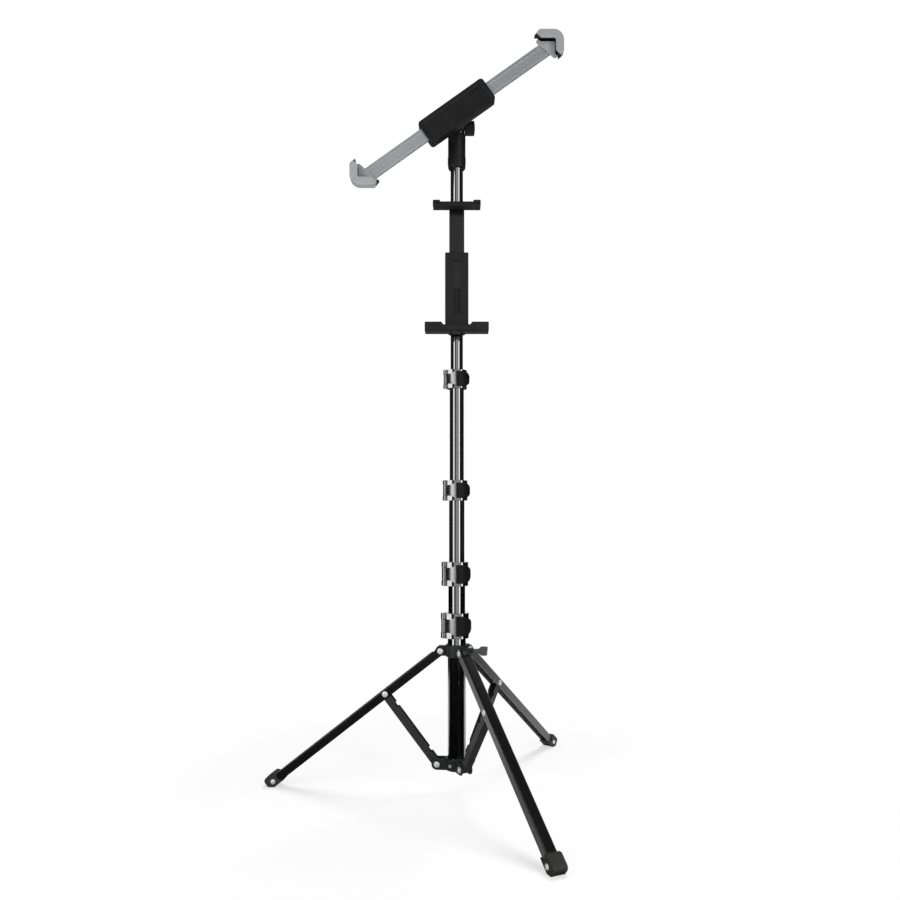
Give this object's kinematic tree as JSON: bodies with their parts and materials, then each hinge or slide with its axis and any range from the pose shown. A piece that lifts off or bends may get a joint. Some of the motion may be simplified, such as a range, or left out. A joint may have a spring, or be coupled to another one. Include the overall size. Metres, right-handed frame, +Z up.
{
  "type": "adjustable tablet floor stand",
  "caption": "Folding tripod floor stand with a telescopic flip-lock mast, a phone holder on the top tube and a tilting, turning tablet holder with corner claws.",
  "frame": {"origin": "on the floor, under the mast axis", "axes": "+Z up the mast, -Y to the front where the screens face, +X to the right seen from the front"},
  "size_m": [0.3868, 0.4211, 0.8994],
  "materials": {
    "gloss_black_tube": "glossy black lacquer",
    "satin_black_steel": "satin black powder coat",
    "black_plastic": "fine textured black",
    "gloss_plastic": "polished black",
    "foot_plastic": "dark grey moulded",
    "nickel": "bright nickel",
    "rubber": "soft black rubber",
    "grey_plastic": "satin silver grey",
    "bare_alloy": "brushed"
  },
  "bodies": {
    "base": {"base_tube": "gloss_black_tube", "hub": "black_plastic", "hub_rivets": "nickel", "hub_screw": "nickel", "lock4_ring": "gloss_plastic", "lock4_pin": "nickel"},
    "lever4": {"lock4_lever": "black_plastic"},
    "mast2": {"tube2": "gloss_black_tube", "tube2_guide": "black_plastic", "lock3_ring": "gloss_plastic", "lock3_pin": "nickel"},
    "lever3": {"lock3_lever": "black_plastic"},
    "mast3": {"tube3": "gloss_black_tube", "tube3_guide": "black_plastic", "lock2_ring": "gloss_plastic", "lock2_pin": "nickel"},
    "lever2": {"lock2_lever": "black_plastic"},
    "mast4": {"tube4": "gloss_black_tube", "tube4_guide": "black_plastic", "lock1_ring": "gloss_plastic", "lock1_pin": "nickel"},
    "lever1": {"lock1_lever": "black_plastic"},
    "mast5": {"tube5": "gloss_black_tube", "tube5_guide": "black_plastic"},
    "collar": {"leg_collar": "black_plastic"},
    "wing": {"wing_knob": "black_plastic"},
    "phone_mount": {"phone_bracket": "black_plastic", "phone_jaw_lower": "black_plastic", "phone_pad_lower": "rubber"},
    "phone_knob": {"phone_clamp_knob": "black_plastic"},
    "phone_top": {"phone_bar": "black_plastic", "phone_jaw_upper": "black_plastic", "phone_pad_upper": "rubber"},
    "head": {"head_socket": "black_plastic", "tilt_nut": "nickel"},
    "tilt": {"tilt_bracket": "black_plastic", "turn_washer": "nickel"},
    "tilt_screw": {"tilt_knob": "black_plastic"},
    "holder": {"holder_body": "black_plastic", "holder_cover": "black_plastic", "arm_fixed": "bare_alloy", "claw_lower": "grey_plastic", "claw_pad_lower": "rubber"},
    "sliding_arm": {"arm_slide": "bare_alloy", "claw_upper": "grey_plastic", "claw_pad_upper": "rubber"},
    "left_leg": {"leg_left": "satin_black_steel", "leg_left_rivets": "nickel", "foot_left": "foot_plastic"},
    "left_brace": {"brace_left": "satin_black_steel"},
    "front_leg": {"leg_front": "satin_black_steel", "leg_front_rivets": "nickel", "foot_front": "foot_plastic"},
    "front_brace": {"brace_front": "satin_black_steel"},
    "rear_leg": {"leg_rear": "satin_black_steel", "leg_rear_rivets": "nickel", "foot_rear": "foot_plastic"},
    "rear_brace": {"brace_rear": "satin_black_steel"}
  },
  "joints": [
    {"name": "collar_slide", "type": "slide", "parent": "base", "child": "collar", "axis": [0, 0, -1], "range_m": [0, 0.11894]},
    {"name": "left_leg_fold", "type": "hinge", "parent": "collar", "child": "left_leg", "pos_m": [-0.01959, 0.00206, 0.1725], "axis": [0.1045, 0.9945, 0], "range_deg": [0, 123.4]},
    {"name": "left_brace_fold", "type": "hinge", "parent": "left_leg", "child": "left_brace", "pos_m": [-0.0874, 0.00919, 0.11846], "axis": [-0.1045, -0.9945, 0], "range_deg": [0, 87.79]},
    {"name": "front_leg_fold", "type": "hinge", "parent": "collar", "child": "front_leg", "pos_m": [0.00801, -0.018, 0.1725], "axis": [-0.9135, -0.4067, 0], "range_deg": [0, 123.4]},
    {"name": "front_brace_fold", "type": "hinge", "parent": "front_leg", "child": "front_brace", "pos_m": [0.03574, -0.08028, 0.11846], "axis": [0.9135, 0.4067, 0], "range_deg": [0, 87.79]},
    {"name": "rear_leg_fold", "type": "hinge", "parent": "collar", "child": "rear_leg", "pos_m": [0.01158, 0.01594, 0.1725], "axis": [0.809, -0.5878, 0], "range_deg": [0, 123.4]},
    {"name": "rear_brace_fold", "type": "hinge", "parent": "rear_leg", "child": "rear_brace", "pos_m": [0.05165, 0.0711, 0.11846], "axis": [-0.809, 0.5878, 0], "range_deg": [0, 87.79]},
    {"name": "wing_knob_turn", "type": "hinge", "parent": "collar", "child": "wing", "pos_m": [0.02486, -0.00261, 0.1725], "axis": [0.9945, -0.1045, 0], "continuous": true},
    {"name": "lock4_lever_swing", "type": "hinge", "parent": "base", "child": "lever4", "pos_m": [-0.01541, -0.00328, 0.20375], "axis": [0, 0, 1], "range_deg": [-100, 0]},
    {"name": "tube2_slide", "type": "slide", "parent": "base", "child": "mast2", "axis": [0, 0, 1], "range_m": [-0.032, 0.1]},
    {"name": "lock3_lever_swing", "type": "hinge", "parent": "mast2", "child": "lever3", "pos_m": [-0.01467, -0.00312, 0.2665], "axis": [0, 0, 1], "range_deg": [-100, 0]},
    {"name": "tube3_slide", "type": "slide", "parent": "mast2", "child": "mast3", "axis": [0, 0, 1], "range_m": [-0.073, 0.065]},
    {"name": "lock2_lever_swing", "type": "hinge", "parent": "mast3", "child": "lever2", "pos_m": [-0.01394, -0.00296, 0.36775], "axis": [0, 0, 1], "range_deg": [-100, 0]},
    {"name": "tube4_slide", "type": "slide", "parent": "mast3", "child": "mast4", "axis": [0, 0, 1], "range_m": [-0.11, 0.035]},
    {"name": "lock1_lever_swing", "type": "hinge", "parent": "mast4", "child": "lever1", "pos_m": [-0.0132, -0.00281, 0.50275], "axis": [0, 0, 1], "range_deg": [-100, 0]},
    {"name": "tube5_slide", "type": "slide", "parent": "mast4", "child": "mast5", "axis": [0, 0, 1], "range_m": [-0.012, 0.13]},
    {"name": "phone_mount_slide", "type": "slide", "parent": "mast5", "child": "phone_mount", "axis": [0, 0, -1], "range_m": [-0.045, 0.01]},
    {"name": "phone_clamp_knob_turn", "type": "hinge", "parent": "phone_mount", "child": "phone_knob", "pos_m": [0, 0.018, 0.5651], "axis": [0, 1, 0], "continuous": true},
    {"name": "phone_jaw_slide", "type": "slide", "parent": "phone_mount", "child": "phone_top", "axis": [0, 0, 1], "range_m": [-0.035, 0.02]},
    {"name": "head_pan", "type": "hinge", "parent": "mast5", "child": "head", "pos_m": [0, 0, 0.7875], "axis": [0, 0, 1], "continuous": true},
    {"name": "head_tilt", "type": "hinge", "parent": "head", "child": "tilt", "pos_m": [0, 0, 0.8095], "axis": [-1, 0, 0], "range_deg": [-10, 70]},
    {"name": "tilt_knob_turn", "type": "hinge", "parent": "head", "child": "tilt_screw", "pos_m": [0, 0, 0.8095], "axis": [1, 0, 0], "continuous": true},
    {"name": "holder_turn", "type": "hinge", "parent": "tilt", "child": "holder", "pos_m": [0, -0.03, 0.8095], "axis": [0, -1, 0], "continuous": true},
    {"name": "arm_slide_out", "type": "slide", "parent": "holder", "child": "sliding_arm", "axis": [0.8151, 0, 0.5793], "range_m": [-0.036, 0.025]}
  ],
  "couplings": [
    {"joint": "left_leg_fold", "follows": "collar_slide", "rad_per_m": 18.107},
    {"joint": "left_brace_fold", "follows": "collar_slide", "rad_per_m": 12.882},
    {"joint": "front_leg_fold", "follows": "collar_slide", "rad_per_m": 18.107},
    {"joint": "front_brace_fold", "follows": "collar_slide", "rad_per_m": 12.882},
    {"joint": "rear_leg_fold", "follows": "collar_slide", "rad_per_m": 18.107},
    {"joint": "rear_brace_fold", "follows": "collar_slide", "rad_per_m": 12.882}
  ]
}
